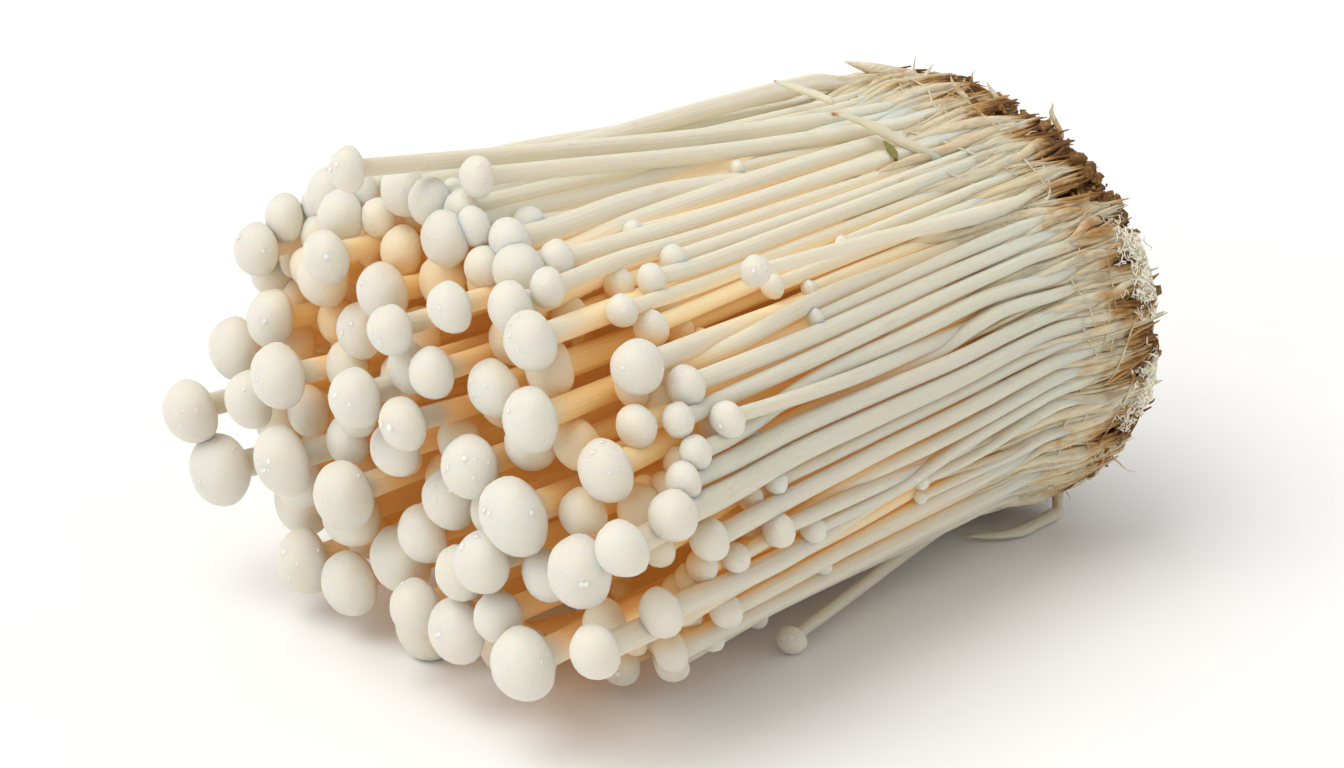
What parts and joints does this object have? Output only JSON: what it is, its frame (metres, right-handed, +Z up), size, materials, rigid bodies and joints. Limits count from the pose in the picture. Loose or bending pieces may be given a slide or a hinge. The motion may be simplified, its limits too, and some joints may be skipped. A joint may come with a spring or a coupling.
{
  "type": "enoki mushroom bunch",
  "caption": "Bunch of long-stemmed white enoki mushrooms lying on its side, with small round caps at one end and a grown-together root end with a crust of substrate at the other.",
  "frame": {"origin": "middle of the bounding box, on the table that the bunch lies on", "axes": "+X along the stems from the caps to the root end, +Y across the bunch, +Z up"},
  "size_m": [0.1288, 0.101, 0.0795],
  "materials": {
    "mushroom_flesh": "matte ivory flesh, slightly translucent",
    "root_fibre": "fine tan fibres with white mycelium",
    "substrate": "crumbly brown growing medium"
  },
  "bodies": {
    "root": {"mushroom_01": "mushroom_flesh", "mushroom_02": "mushroom_flesh", "mushroom_03": "mushroom_flesh", "mushroom_04": "mushroom_flesh", "mushroom_05": "mushroom_flesh", "mushroom_06": "mushroom_flesh", "mushroom_07": "mushroom_flesh", "mushroom_08": "mushroom_flesh", "mushroom_09": "mushroom_flesh", "mushroom_10": "mushroom_flesh", "mushroom_11": "mushroom_flesh", "mushroom_12": "mushroom_flesh", "mushroom_13": "mushroom_flesh", "mushroom_14": "mushroom_flesh", "mushroom_15": "mushroom_flesh", "mushroom_16": "mushroom_flesh", "mushroom_17": "mushroom_flesh", "mushroom_18": "mushroom_flesh", "mushroom_19": "mushroom_flesh", "mushroom_20": "mushroom_flesh", "mushroom_21": "mushroom_flesh", "mushroom_22": "mushroom_flesh", "mushroom_23": "mushroom_flesh", "mushroom_24": "mushroom_flesh", "mushroom_25": "mushroom_flesh", "mushroom_26": "mushroom_flesh", "mushroom_27": "mushroom_flesh", "mushroom_28": "mushroom_flesh", "mushroom_29": "mushroom_flesh", "mushroom_30": "mushroom_flesh", "mushroom_31": "mushroom_flesh", "mushroom_32": "mushroom_flesh", "mushroom_33": "mushroom_flesh", "mushroom_34": "mushroom_flesh", "mushroom_35": "mushroom_flesh", "mushroom_36": "mushroom_flesh", "mushroom_37": "mushroom_flesh", "mushroom_38": "mushroom_flesh", "mushroom_39": "mushroom_flesh", "mushroom_40": "mushroom_flesh", "mushroom_41": "mushroom_flesh", "mushroom_42": "mushroom_flesh", "mushroom_43": "mushroom_flesh", "mushroom_44": "mushroom_flesh", "mushroom_45": "mushroom_flesh", "mushroom_46": "mushroom_flesh", "mushroom_47": "mushroom_flesh", "mushroom_48": "mushroom_flesh", "mushroom_49": "mushroom_flesh", "mushroom_50": "mushroom_flesh", "mushroom_51": "mushroom_flesh", "mushroom_52": "mushroom_flesh", "mushroom_53": "mushroom_flesh", "mushroom_54": "mushroom_flesh", "mushroom_55": "mushroom_flesh", "root_mass": "root_fibre", "substrate_crust": "substrate", "table_loose_stem": "mushroom_flesh", "top_loose_stem_1": "mushroom_flesh", "top_loose_stem_2": "mushroom_flesh"}
  },
  "joints": []
}
